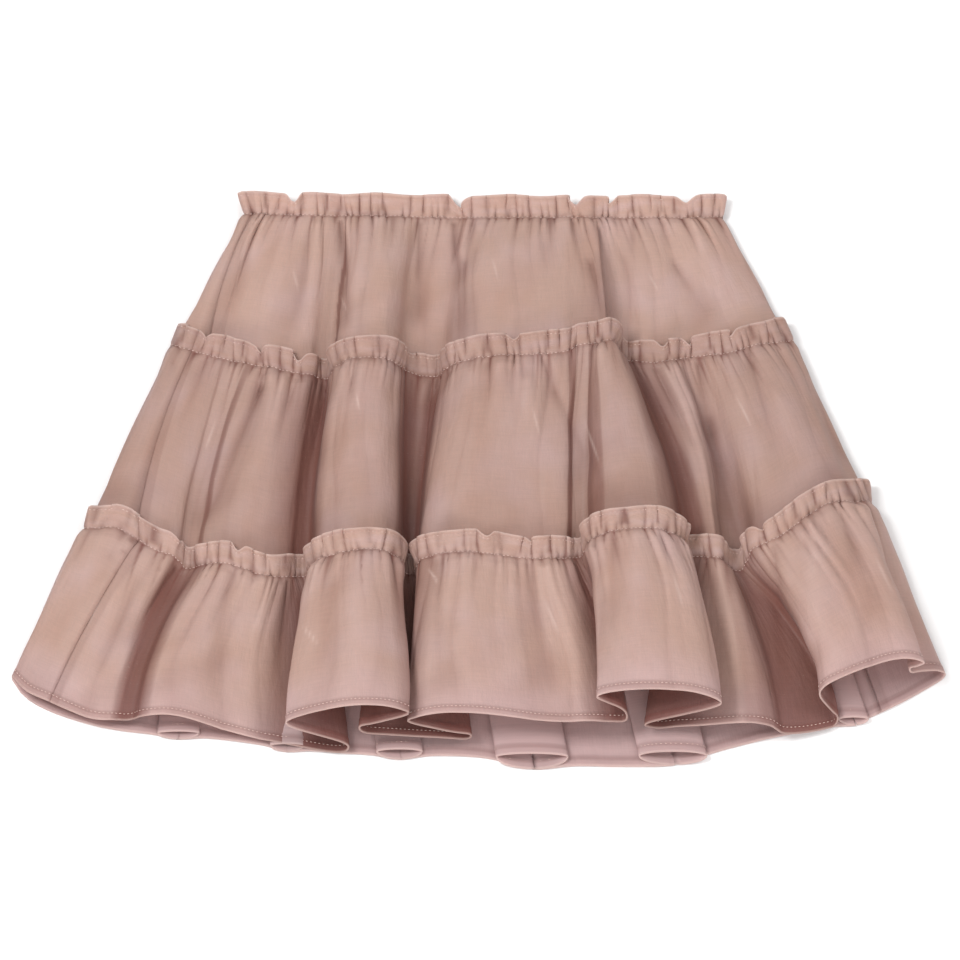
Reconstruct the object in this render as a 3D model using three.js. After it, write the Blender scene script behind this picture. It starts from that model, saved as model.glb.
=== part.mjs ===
import * as THREE from "three";

// Child's skirt of three gathered tiers, laid flat with its hem toward the viewer
// Millimetres, X across, Y from hem to waist, Z up, back panels resting on Z = 0

// Cloth sizes
const WALL = 1.1;
const GAP = 0.45;
const SIDE_GAP = 0.4;
const APART = WALL + GAP;
const REST = WALL / 2;
const LIFTED = REST + APART;

// Ruffled heading above each stitch line
const HEADING = 11;
const HEADING_LEAN = 1.2;
const HEADING_WAVE = 2.2;

// Shift that puts the origin under the middle of the laid skirt
const ORIGIN_X = -0.9;
const ORIGIN_Y = -0.2;

// Fold tables of the front, one row per fold, left to right
// across: under, left side, right side, tuck | Y: under, left, right, tuck | Z: the same four
const WAIST = [
  [-119, -116, -106, -102, 145.8, 145.1, 145.1, 145.3, 3.5, 6.0, 6.0, 5.0],
  [-97, -94, -77, -73, 145.2, 144.3, 144.2, 144.8, 5.0, 6.0, 6.0, 4.6],
  [-68, -64, -36, -31, 144.7, 143.8, 143.5, 144.2, 4.6, 6.5, 6.5, 4.4],
  [-10, -5, 40, 45, 143.8, 142.9, 142.7, 143.2, 4.4, 6.5, 6.5, 5.2],
  [50, 53, 59, 62, 143.1, 142.9, 142.9, 143.7, 5.2, 6.0, 6.0, 4.8],
  [67, 71, 86, 90, 143.7, 142.9, 143.1, 143.5, 4.8, 6.0, 6.0, 5.2],
  [95, 99, 111, 116, 143.4, 142.9, 143.0, 143.8, 5.2, 6.0, 6.0, 5.0],
];
const SEAM_1 = [
  [-154, -149, -130, -125, 72.2, 67.0, 64.0, 62.4, 5.0, 9.0, 9.0, 7.0],
  [-117, -112, -85, -81, 61.0, 57.4, 53.9, 53.4, 7.0, 10.0, 10.0, 5.0],
  [-75, -71, -42, -37, 52.9, 54.6, 54.4, 55.6, 5.0, 26.0, 27.0, 8.0],
  [-20, -14, 43, 48, 52.5, 55.6, 57.1, 63.2, 8.5, 25.0, 26.0, 23.0],
  [54, 58, 67, 72, 64.0, 63.8, 65.4, 60.9, 23.0, 25.0, 24.0, 9.5],
  [78, 82, 98, 103, 60.7, 58.8, 59.9, 62.4, 9.5, 12.0, 12.0, 10.0],
  [109, 117, 147, 152, 63.2, 63.8, 68.9, 72.4, 10.0, 13.0, 12.0, 8.0],
];
const SEAM_2 = [
  [-198, -192, -152, -148, -29.5, -31.2, -44.3, -51.5, 5.0, 10.0, 12.5, 5.5],
  [-142, -138, -96, -92, -51.4, -51.9, -57.7, -56.0, 5.5, 12.5, 10.0, 5.0],
  [-86, -82, -41, -38, -55.8, -53.4, -51.7, -54.6, 5.0, 27.0, 29.0, 5.5],
  [-32, -29, 42, 46, -54.6, -51.0, -53.6, -51.6, 5.5, 25.0, 22.0, 17.0],
  [52, 56, 99, 103, -50.0, -43.5, -42.9, -48.6, 17.0, 33.0, 34.0, 13.5],
  [109, 112, 120, 125, -48.9, -50.0, -50.5, -52.6, 13.5, 16.0, 16.0, 5.5],
  [132, 136, 186, 190, -52.4, -41.3, -23.0, -17.6, 5.5, 20.0, 21.0, 11.0],
];
const HEM = [
  [-234, -226, -181, -177, -108.9, -125.0, -135.0, -134.7, 5.0, 9.0, 9.0, 6.0],
  [-172, -168, -100, -68, -134.1, -135.5, -142.9, -150.6, 6.0, 15.0, 6.0, 2.9],
  [-66, -98, -33, -62, -149.0, -139.8, -139.3, -144.8, 8.0, 29.0, 35.0, 17.0],
  [-2, -38, 60, 72, -145.0, -139.5, -141.2, -140.4, 8.0, 27.0, 20.0, 17.5],
  [71, 57, 122, 82, -138.0, -131.8, -133.1, -141.1, 25.0, 37.0, 37.0, 15.0],
  [88, 98, 146, 151, -140.6, -141.1, -139.5, -142.2, 9.5, 14.0, 14.0, 6.0],
  [179, 168, 222, 214, -135.0, -119.5, -110.7, -111.5, 4.4, 27.0, 28.0, 15.0],
];

// Right edge of the front at each level: X, Y, Z
const RIGHT_EDGE = [
  [122.0, 144.6, 3.6],
  [156.0, 73.8, 5.0],
  [195.0, -15.0, 5.4],
  [232.5, -107.6, 6.0],
];

// Back: distance from the middle as a share of the half width, then Y at waist, seam 1, seam 2, hem
const BACK = [
  [0.96, 143.6, 72.0, -19.0, -114.5],
  [0.83, 141.5, 66.5, -28.0, -131.0],
  [0.62, 139.0, 61.5, -37.0, -142.0],
  [0.34, 137.6, 58.0, -44.0, -157.5],
  [0.00, 136.6, 56.0, -48.0, -152.0],
  [-0.32, 137.6, 57.5, -47.5, -150.0],
  [-0.57, 139.4, 60.5, -44.0, -142.0],
  [-0.80, 142.0, 66.0, -38.5, -136.5],
  [-0.96, 145.4, 71.0, -32.0, -121.5],
];

// A fold's section: share of its height where it is widest, share of its width to each crest knot,
// and how far along the loop its corners are rounded
const SIDE = 0.62;
const CREST_IN = 0.25;
const ROUNDING = 0.22;

// Loop round the skirt: six knots a fold, then the right edge, then the back
const FOLD_KNOTS = 6;
const EDGE_KNOT = WAIST.length * FOLD_KNOTS;
const LOOP = EDGE_KNOT + 1 + BACK.length;

// Where the cloth doubles back: height and span of the round tip, and how far apart such tips are
const TIP = 1.6;
const TIP_SPAN = 0.13;
const TIP_SCALE = 1.65;
const LONE = 8.5;

// Tiers: names, waves of the front heading, and where the side seams cross its top and bottom
const TIERS = [
  { name: "tier_1", waves: 20, seamTop: 1.6, seamBottom: 2.9 },
  { name: "tier_2", waves: 34, seamTop: 2.0, seamBottom: 2.5 },
  { name: "tier_3", waves: 40, seamTop: 2.6, seamBottom: 2.0 },
];
const BACK_SEAM = EDGE_KNOT + 1.8;

// How a tier's folds open below its stitch line, and how its small gathers start and die away
const OPENING = 1.7;
const GATHER = 0.5;
const GATHER_START = 0.03;
const GATHER_FADE = 14;

// Where a back panel lifts to clear the heading of the tier below it
const LIFT_FROM = 0.6;
const LIFT_TO = 0.8;

// How far a surface runs on past its top and bottom curves
const PAST_TOP = -0.2;
const PAST_BOTTOM = 1.05;

// Search for the room in front of the cloth, which limits how far the heading waves
const SAMPLES = 900;
const MOST_ROOM = 40;
const NEIGHBOUR = 5;
const AHEAD = 0.35;

// Fineness of the mesh
const ROWS = [0.05, 0.18, 0.38, 0.6, 0.8, 1];
const HEADING_ROWS = [1, 0.5, 0];
const STEP = 16;
const WAVE_STEPS = 4.2;
const SAG = 0.32;
const SAG_SHARE_Y = 0.3;
const SHORTEST = 1.8;

// Small steps for slopes, along the loop and down a tier
const NUDGE = 0.004;
const DOWN_NUDGE = 0.01;

const mix = (a, b, t) => a + (b - a) * t;
const clamp = (x, low, high) => Math.min(high, Math.max(low, x));
const smooth = (a, b, x) => {
  const t = clamp((x - a) / (b - a), 0, 1);
  return t * t * (3 - 2 * t);
};

// Knots of one fold: valley, left side, two on the crest, right side, valley
function foldKnots(row) {
  const [under, left, right, tuck, yu, ya, yb, yt, zu, za, zb, zt] = row;
  const width = right - left;
  return [
    new THREE.Vector3(under, yu, zu),
    new THREE.Vector3(left, mix(yu, ya, SIDE), mix(zu, za, SIDE)),
    new THREE.Vector3(left + CREST_IN * width, ya, za),
    new THREE.Vector3(right - CREST_IN * width, yb, zb),
    new THREE.Vector3(right, mix(yt, yb, SIDE), mix(zt, zb, SIDE)),
    new THREE.Vector3(tuck, yt, zt),
  ];
}

// Place on the loop counted from the middle of the last stretch before the left edge
const wrap = (s) => s - LOOP * Math.floor((s + 1) / LOOP);

// Places where the cloth doubles back on itself, and whether it goes up or down there
function doublings(knots) {
  const list = [];
  for (let i = 1; i < EDGE_KNOT; i += 1) {
    const [before, knot, after] = [knots[i - 1], knots[i], knots[i + 1]];
    const place = i % FOLD_KNOTS;
    const valley = place === 0 || place === FOLD_KNOTS - 1;
    const doubled = (knot.x - before.x) * (after.x - knot.x) < 0;
    const lone = Math.min(knot.distanceTo(before), knot.distanceTo(after)) > LONE;
    if (valley && doubled && lone) {
      list.push({ at: i, rise: before.z < after.z ? TIP : -TIP });
    }
  }
  return list;
}

// Sideways S that opens a sharp tip into a round one, 1 at its widest
function opened(x) {
  const share = x / TIP_SPAN;
  return TIP_SCALE * share * Math.exp(-0.5 * share * share);
}

// Closed section round the skirt at one level
function section(folds, level, backHeight) {
  const knots = folds.flatMap(foldKnots);
  const edge = new THREE.Vector3(...RIGHT_EDGE[level]);
  knots.push(edge);
  for (const row of BACK) {
    const half = row[0] > 0 ? edge.x : -folds[0][0];
    knots.push(new THREE.Vector3(row[0] * half, row[level + 1], backHeight));
  }
  const curve = new THREE.CatmullRomCurve3(knots, true, "centripetal");
  const tips = doublings(knots);
  const at = (s) => curve.getPoint(((s / LOOP) % 1 + 1) % 1);
  return (s) => {
    const point = at(s).multiplyScalar(2).add(at(s - ROUNDING)).add(at(s + ROUNDING));
    point.multiplyScalar(0.25);
    for (const tip of tips) {
      point.z += tip.rise * opened(wrap(s) - tip.at);
    }
    point.z = Math.max(point.z, backHeight);
    return point;
  };
}

const LEVELS = [
  section(WAIST, 0, REST),
  section(SEAM_1, 1, LIFTED),
  section(SEAM_2, 2, LIFTED),
  section(HEM, 3, REST),
];

// 1 on the front, 0 on the back, with the change at the side edges
function frontness(s) {
  const at = wrap(s);
  return smooth(-0.7, 0.4, at) * (1 - smooth(EDGE_KNOT - 0.4, EDGE_KNOT + 0.6, at));
}

// 0 at the side edges, 1 well inside the front
function inside(s) {
  const at = wrap(s);
  return smooth(0, FOLD_KNOTS, at) * (1 - smooth(EDGE_KNOT - FOLD_KNOTS, EDGE_KNOT, at));
}

// Normal of a surface, pointing away from the body
function normalOf(surface, s, t, step = DOWN_NUDGE) {
  const along = surface(s + NUDGE, t).sub(surface(s - NUDGE, t));
  const down = surface(s, t + step).sub(surface(s, t - step));
  return down.cross(along).normalize();
}

// Middle surface of a tier between its top and bottom curves, t from 0 to 1
function tierSurface(top, bottom, lifts) {
  return (s, t) => {
    const a = top(s);
    const b = bottom(s);
    const down = clamp(t, PAST_TOP, PAST_BOTTOM);
    const quick = 1 - Math.pow(1 - clamp(down, 0, 1), OPENING) + Math.min(down, 0);
    const open = mix(down, quick, inside(s));
    const point = new THREE.Vector3(mix(a.x, b.x, open), mix(a.y, b.y, down), mix(a.z, b.z, open));
    const lifted = REST + APART * smooth(LIFT_FROM, LIFT_TO, down);
    const flat = lifts ? lifted : REST;
    point.z = mix(flat, point.z, frontness(s));
    return point;
  };
}

// Share of the way along a level's front, by length, and the room in front of each point
function measure(level, waves) {
  const points = [];
  for (let i = 0; i <= SAMPLES; i += 1) {
    points.push(level((i / SAMPLES) * EDGE_KNOT));
  }
  const reach = [0];
  for (let i = 1; i <= SAMPLES; i += 1) {
    reach.push(reach[i - 1] + points[i].distanceTo(points[i - 1]));
  }
  const room = points.map((p, i) => {
    const q = points[Math.min(i + 1, SAMPLES)];
    const r = points[Math.max(i - 1, 0)];
    const out = new THREE.Vector3(-(q.z - r.z), 0, q.x - r.x).normalize();
    let nearest = MOST_ROOM;
    points.forEach((other, j) => {
      const away = other.clone().sub(p);
      const gap = away.length();
      const facing = Math.abs(reach[j] - reach[i]) > NEIGHBOUR && away.dot(out) > AHEAD * gap;
      nearest = facing ? Math.min(nearest, gap) : nearest;
    });
    return nearest;
  });
  const total = reach[SAMPLES];
  return (s) => {
    const at = clamp((wrap(s) / EDGE_KNOT) * SAMPLES, 0, SAMPLES - 0.001);
    const i = Math.floor(at);
    const phase = (mix(reach[i], reach[i + 1], at - i) / total) * waves;
    return { phase, room: mix(room[i], room[i + 1], at - i) };
  };
}

// Uneven wave from 0 to 1 with its crests standing out
function ruffle(phase, tier) {
  const uneven = phase + 0.22 * Math.sin(1.9 * phase + tier) + 0.16 * Math.sin(3.7 * phase + 2 * tier);
  return 0.5 - 0.5 * Math.cos(2 * Math.PI * uneven);
}

// Whole middle surface of a tier: w from -1 at the heading's top, 0 at the stitches, 1 at its bottom
function wholeTier(k, upper, body) {
  const found = measure(LEVELS[k], TIERS[k].waves);
  const seam = LEVELS[k];
  return (s, w) => {
    const { phase, room } = found(s);
    const front = frontness(s);
    const spare = clamp(room / 2 - APART - WALL, 0, HEADING_WAVE) / HEADING_WAVE;
    const wave = ruffle(phase, k);
    let point;
    let out;
    if (w > 0) {
      point = body(s, w);
      out = normalOf(body, s, w);
      const fade = GATHER * Math.exp(-w * GATHER_FADE) * spare * front;
      point.addScaledVector(out, fade * wave * smooth(0, GATHER_START, w));
    } else {
      const base = upper ?? ((u, h) => seam(u).add(new THREE.Vector3(0, HEADING * (1 - h), 0)));
      const share = upper ? HEADING / Math.abs(upper(s, 0).y - upper(s, 1).y) : 1;
      const t = 1 + w * share;
      point = base(s, t);
      out = normalOf(base, s, t);
      const rise = -w;
      const stand = upper ? APART : 0;
      const flare = (HEADING_LEAN * rise + HEADING_WAVE * wave * smooth(0, 0.8, rise)) * spare;
      point.addScaledVector(out, stand + flare * front);
    }
    point.z = Math.max(point.z, REST);
    return point;
  };
}

// Stations once round a row, closer together where it bends, farther apart on the back
function stations(surface, w, step) {
  const list = [];
  const divide = (a, b) => {
    const pa = surface(a, w);
    const pb = surface(b, w);
    const m = (a + b) / 2;
    const bow = surface(m, w).sub(pa.clone().add(pb).multiplyScalar(0.5));
    bow.y *= SAG_SHARE_Y;
    if (pa.distanceTo(pb) > SHORTEST && bow.length() > SAG) {
      divide(a, m);
      divide(m, b);
    } else {
      list.push(b);
    }
  };
  for (let a = 0; a < LOOP; a += 1) {
    const length = surface(a, w).distanceTo(surface(a + 1, w));
    const parts = Math.max(1, Math.round(length / (a < EDGE_KNOT ? step : STEP)));
    for (let j = 0; j < parts; j += 1) {
      divide(a + j / parts, a + (j + 1) / parts);
    }
  }
  return list;
}

// Closed solid round a middle surface: rows of stations, outer and inner side, four edges
function wall(surface, rows) {
  const positions = [];
  const index = [];
  const put = (s, w, side) => {
    const point = surface(s, w);
    const out = normalOf(surface, s, w, 2 * DOWN_NUDGE);
    point.addScaledVector(out, side * REST);
    point.z = Math.max(point.z, side * out.z > 0 ? WALL : 0);
    positions.push(point.x - ORIGIN_X, point.y - ORIGIN_Y, point.z);
    return positions.length / 3 - 1;
  };
  const grid = rows.map(({ w, list }) => ({
    list,
    outer: list.map((s) => put(s, w, 1)),
    inner: list.map((s) => put(s, w, -1)),
  }));
  const face = (a, b, c, flip) => index.push(...(flip ? [a, c, b] : [a, b, c]));
  const zip = (upper, lower, side, flip) => {
    let i = 0;
    let j = 0;
    const a = upper[side];
    const b = lower[side];
    while (i < a.length - 1 || j < b.length - 1) {
      const ahead = i < a.length - 1 ? (upper.list[i + 1] - upper.list[0]) / span(upper) : 2;
      const behind = j < b.length - 1 ? (lower.list[j + 1] - lower.list[0]) / span(lower) : 2;
      if (ahead <= behind) {
        face(a[i], b[j], a[i + 1], flip);
        i += 1;
      } else {
        face(a[i], b[j], b[j + 1], flip);
        j += 1;
      }
    }
  };
  const span = (row) => row.list[row.list.length - 1] - row.list[0];
  const quad = (a, b, c, d) => {
    face(a, b, c, false);
    face(a, c, d, false);
  };
  for (let r = 1; r < grid.length; r += 1) {
    const upper = grid[r - 1];
    const lower = grid[r];
    zip(upper, lower, "outer", false);
    zip(upper, lower, "inner", true);
    const n = upper.outer.length - 1;
    const m = lower.outer.length - 1;
    quad(upper.inner[0], lower.inner[0], lower.outer[0], upper.outer[0]);
    quad(upper.outer[n], lower.outer[m], lower.inner[m], upper.inner[n]);
  }
  const top = grid[0];
  const bottom = grid[grid.length - 1];
  for (let i = 1; i < top.outer.length; i += 1) {
    quad(top.inner[i - 1], top.outer[i - 1], top.outer[i], top.inner[i]);
  }
  for (let i = 1; i < bottom.outer.length; i += 1) {
    quad(bottom.outer[i - 1], bottom.inner[i - 1], bottom.inner[i], bottom.outer[i]);
  }
  const geometry = new THREE.BufferGeometry();
  geometry.setAttribute("position", new THREE.Float32BufferAttribute(positions, 3));
  geometry.setIndex(index);
  geometry.computeVertexNormals();
  return geometry;
}

// Rows of one panel between its two side seams, half a gap short of each
function panelRows(surface, tier, isFront) {
  const levels = [...HEADING_ROWS.map((h) => -h), ...ROWS];
  const waved = stations(surface, 0, STEP / WAVE_STEPS);
  const plain = stations(surface, 1, STEP);
  return levels.map((w) => {
    const seam = mix(tier.seamTop, tier.seamBottom, clamp(w, 0, 1));
    const pace = (s) => surface(s + NUDGE, w).distanceTo(surface(s - NUDGE, w)) / (2 * NUDGE);
    const from = isFront ? seam : BACK_SEAM;
    const to = isFront ? BACK_SEAM : seam + LOOP;
    const first = from + SIDE_GAP / 2 / pace(from);
    const last = to - SIDE_GAP / 2 / pace(to);
    const once = w <= ROWS[0] ? waved : plain;
    const twice = [...once, ...once.map((s) => s + LOOP)];
    const clear = SHORTEST / 2;
    const list = twice.filter((s) => s > first + clear / pace(from) && s < last - clear / pace(to));
    return { w, list: [first, ...list, last] };
  });
}

const skirt = new THREE.Group();
skirt.name = "skirt";
let last = null;
TIERS.forEach((tier, k) => {
  const seam = LEVELS[k];
  const upper = last;
  const top = upper ? (s) => seam(s).addScaledVector(normalOf(upper, s, 1), APART) : seam;
  const body = tierSurface(top, LEVELS[k + 1], k < TIERS.length - 1);
  const whole = wholeTier(k, upper, body);
  for (const side of ["front", "back"]) {
    const cloth = new THREE.MeshStandardMaterial({
      color: side === "front" ? 0xc2a497 : 0xb4948a,
      roughness: 0.6,
      metalness: 0,
    });
    const geometry = wall(whole, panelRows(whole, tier, side === "front"));
    const mesh = new THREE.Mesh(geometry, cloth);
    mesh.name = `${tier.name}_${side}`;
    skirt.add(mesh);
  }
  last = body;
});

export default skirt;
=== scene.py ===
import math

import bpy
import numpy as np
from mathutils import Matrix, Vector


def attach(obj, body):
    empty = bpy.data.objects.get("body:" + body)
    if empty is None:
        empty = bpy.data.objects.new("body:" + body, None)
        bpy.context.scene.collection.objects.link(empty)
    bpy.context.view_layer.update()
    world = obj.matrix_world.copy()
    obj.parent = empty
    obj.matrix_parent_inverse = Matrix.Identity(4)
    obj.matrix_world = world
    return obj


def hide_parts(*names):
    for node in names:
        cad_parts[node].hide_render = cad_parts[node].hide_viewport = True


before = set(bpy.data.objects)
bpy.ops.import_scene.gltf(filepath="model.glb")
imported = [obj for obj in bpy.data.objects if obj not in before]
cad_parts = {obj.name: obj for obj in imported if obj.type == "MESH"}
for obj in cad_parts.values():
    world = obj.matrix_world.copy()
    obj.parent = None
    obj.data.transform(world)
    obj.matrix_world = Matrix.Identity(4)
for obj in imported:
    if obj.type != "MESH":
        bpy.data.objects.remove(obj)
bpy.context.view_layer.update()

# Tiered skirt of satin-faced organza, laid flat. Shapes are worked out in millimetres.
MM = 0.001
ORIGIN = np.array([-0.9, -0.2, 0.0])

# Sizes of the solids that this cloth replaces: wall, distance between layers, the middle of the
# lowest wall and of one lifted over a heading, and the heading with its lean
WALL = 1.1
APART = 1.55
REST = WALL / 2
LIFTED = REST + APART
HEADING = 11.0
HEADING_LEAN = 1.2

# Spare room in front of the cloth at which it stands out in full
HEADING_WAVE = 2.2

# Sizes of the drawn cloth and its stitches
CLOTH = 0.36
HEM_BAND = 4.2
HEM_STITCH = 3.5
TOP_BAND = 2.2
STITCH_PITCH = 2.1
STITCH_LENGTH = 1.35
STITCH_RADIUS = 0.16
STITCH_SIDES = 6

# Rings of a stitch: place as a share of its length, width and rise as shares of its radius
STITCH_RINGS = [(-0.5, 0.3, -0.6), (-0.3, 0.9, 0.1), (0.0, 1.0, 0.35), (0.3, 0.9, 0.1), (0.5, 0.3, -0.6)]

# How far stitches stand off the cloth's middle: at the gathers, the top band and the hem
GATHER_STITCHES = 0.2
BAND_STITCHES = 0.4
HEM_STITCHES = 0.3

# Fold tables of the front, one row per fold, left to right
# across: under, left side, right side, tuck | Y: under, left, right, tuck | Z: the same four
WAIST = [
    [-119, -116, -106, -102, 145.8, 145.1, 145.1, 145.3, 3.5, 6.0, 6.0, 5.0],
    [-97, -94, -77, -73, 145.2, 144.3, 144.2, 144.8, 5.0, 6.0, 6.0, 4.6],
    [-68, -64, -36, -31, 144.7, 143.8, 143.5, 144.2, 4.6, 6.5, 6.5, 4.4],
    [-10, -5, 40, 45, 143.8, 142.9, 142.7, 143.2, 4.4, 6.5, 6.5, 5.2],
    [50, 53, 59, 62, 143.1, 142.9, 142.9, 143.7, 5.2, 6.0, 6.0, 4.8],
    [67, 71, 86, 90, 143.7, 142.9, 143.1, 143.5, 4.8, 6.0, 6.0, 5.2],
    [95, 99, 111, 116, 143.4, 142.9, 143.0, 143.8, 5.2, 6.0, 6.0, 5.0],
]
SEAM_1 = [
    [-154, -149, -130, -125, 72.2, 67.0, 64.0, 62.4, 5.0, 9.0, 9.0, 7.0],
    [-117, -112, -85, -81, 61.0, 57.4, 53.9, 53.4, 7.0, 10.0, 10.0, 5.0],
    [-75, -71, -42, -37, 52.9, 54.6, 54.4, 55.6, 5.0, 26.0, 27.0, 8.0],
    [-20, -14, 43, 48, 52.5, 55.6, 57.1, 63.2, 8.5, 25.0, 26.0, 23.0],
    [54, 58, 67, 72, 64.0, 63.8, 65.4, 60.9, 23.0, 25.0, 24.0, 9.5],
    [78, 82, 98, 103, 60.7, 58.8, 59.9, 62.4, 9.5, 12.0, 12.0, 10.0],
    [109, 117, 147, 152, 63.2, 63.8, 68.9, 72.4, 10.0, 13.0, 12.0, 8.0],
]
SEAM_2 = [
    [-198, -192, -152, -148, -29.5, -31.2, -44.3, -51.5, 5.0, 10.0, 12.5, 5.5],
    [-142, -138, -96, -92, -51.4, -51.9, -57.7, -56.0, 5.5, 12.5, 10.0, 5.0],
    [-86, -82, -41, -38, -55.8, -53.4, -51.7, -54.6, 5.0, 27.0, 29.0, 5.5],
    [-32, -29, 42, 46, -54.6, -51.0, -53.6, -51.6, 5.5, 25.0, 22.0, 17.0],
    [52, 56, 99, 103, -50.0, -43.5, -42.9, -48.6, 17.0, 33.0, 34.0, 13.5],
    [109, 112, 120, 125, -48.9, -50.0, -50.5, -52.6, 13.5, 16.0, 16.0, 5.5],
    [132, 136, 186, 190, -52.4, -41.3, -23.0, -17.6, 5.5, 20.0, 21.0, 11.0],
]
HEM = [
    [-234, -226, -181, -177, -108.9, -125.0, -135.0, -134.7, 5.0, 9.0, 9.0, 6.0],
    [-172, -168, -100, -68, -134.1, -135.5, -142.9, -150.6, 6.0, 15.0, 6.0, 2.9],
    [-66, -98, -33, -62, -149.0, -139.8, -139.3, -144.8, 8.0, 29.0, 35.0, 17.0],
    [-2, -38, 60, 72, -145.0, -139.5, -141.2, -140.4, 8.0, 27.0, 20.0, 17.5],
    [71, 57, 122, 82, -138.0, -131.8, -133.1, -141.1, 25.0, 37.0, 37.0, 15.0],
    [88, 98, 146, 151, -140.6, -141.1, -139.5, -142.2, 9.5, 14.0, 14.0, 6.0],
    [179, 168, 222, 214, -135.0, -119.5, -110.7, -111.5, 4.4, 27.0, 28.0, 15.0],
]
RIGHT_EDGE = [
    [122.0, 144.6, 3.6],
    [156.0, 73.8, 5.0],
    [195.0, -15.0, 5.4],
    [232.5, -107.6, 6.0],
]

# Back: distance from the middle as a share of the half width, then Y at waist, seam 1, seam 2, hem
BACK = [
    [0.96, 143.6, 72.0, -19.0, -114.5],
    [0.83, 141.5, 66.5, -28.0, -131.0],
    [0.62, 139.0, 61.5, -37.0, -142.0],
    [0.34, 137.6, 58.0, -44.0, -157.5],
    [0.00, 136.6, 56.0, -48.0, -152.0],
    [-0.32, 137.6, 57.5, -47.5, -150.0],
    [-0.57, 139.4, 60.5, -44.0, -142.0],
    [-0.80, 142.0, 66.0, -38.5, -136.5],
    [-0.96, 145.4, 71.0, -32.0, -121.5],
]

# A fold's section: share of its height where it is widest, share of its width to each crest knot,
# and how far along the loop its corners are rounded
SIDE = 0.62
CREST_IN = 0.25
ROUNDING = 0.22

# Where the cloth doubles back: height and span of the round tip, and how far apart such tips are
TIP = 1.6
TIP_SPAN = 0.13
TIP_SCALE = 1.65
LONE = 8.5

# Loop round the skirt: six knots a fold, then the right edge, then the back
FOLD_KNOTS = 6
EDGE_KNOT = len(WAIST) * FOLD_KNOTS
LOOP = EDGE_KNOT + 1 + len(BACK)

# Parts of the loop where the front fades into the back at the left and right edges, and where
# the back's own gathers and tubes begin and end
LEFT_TURN = (-0.7, 0.4)
RIGHT_TURN = (EDGE_KNOT - 0.4, EDGE_KNOT + 0.6)
BACK_START = (EDGE_KNOT + 0.6, EDGE_KNOT + 1.6)
BACK_END = (LOOP - 2.2, LOOP - 1.2)
TUBES_FROM = EDGE_KNOT + 2.0

# How a tier's folds open below its stitch line, how far a surface runs on past its curves,
# and where a back panel lifts to clear the heading of the tier below it
OPENING = 1.7
PAST_TOP = -0.2
PAST_BOTTOM = 1.05
LIFT_FROM = 0.6
LIFT_TO = 0.8

# Search for the room in front of the cloth, which limits how far it stands out
SAMPLES = 900
MOST_ROOM = 40
NEIGHBOUR = 5
AHEAD = 0.35

# Small steps for slopes along the loop and down a tier, how finely curves are tabulated, and the
# stretch of the loop that stitches run round
NUDGE = 0.004
DOWN_NUDGE = 0.01
TABLE_STEP = 0.001
LENGTH_SAMPLES = 9001
STATION_SAMPLES = 20001
FOOT_SAMPLES = 4001
PACE_STEP = 0.02
STITCH_NUDGE = 0.01
STITCH_DOWN_NUDGE = 0.006
STITCHED_PART = (-0.9, LOOP - 1.1)

# Tiers, and where the left side seam crosses the top and the bottom of each
TIERS = [
    {"name": "tier_1", "seam": (1.6, 2.9)},
    {"name": "tier_2", "seam": (2.0, 2.5)},
    {"name": "tier_3", "seam": (2.6, 2.0)},
]
BACK_SEAM = EDGE_KNOT + 1.8

# How much darker each tier looks, from its lie to the light
TONES = [0.0, 1.8, 0.8]

# Length of cloth below each stitch line
TIER_LENGTH = [91.0, 105.0, 88.0]

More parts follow.
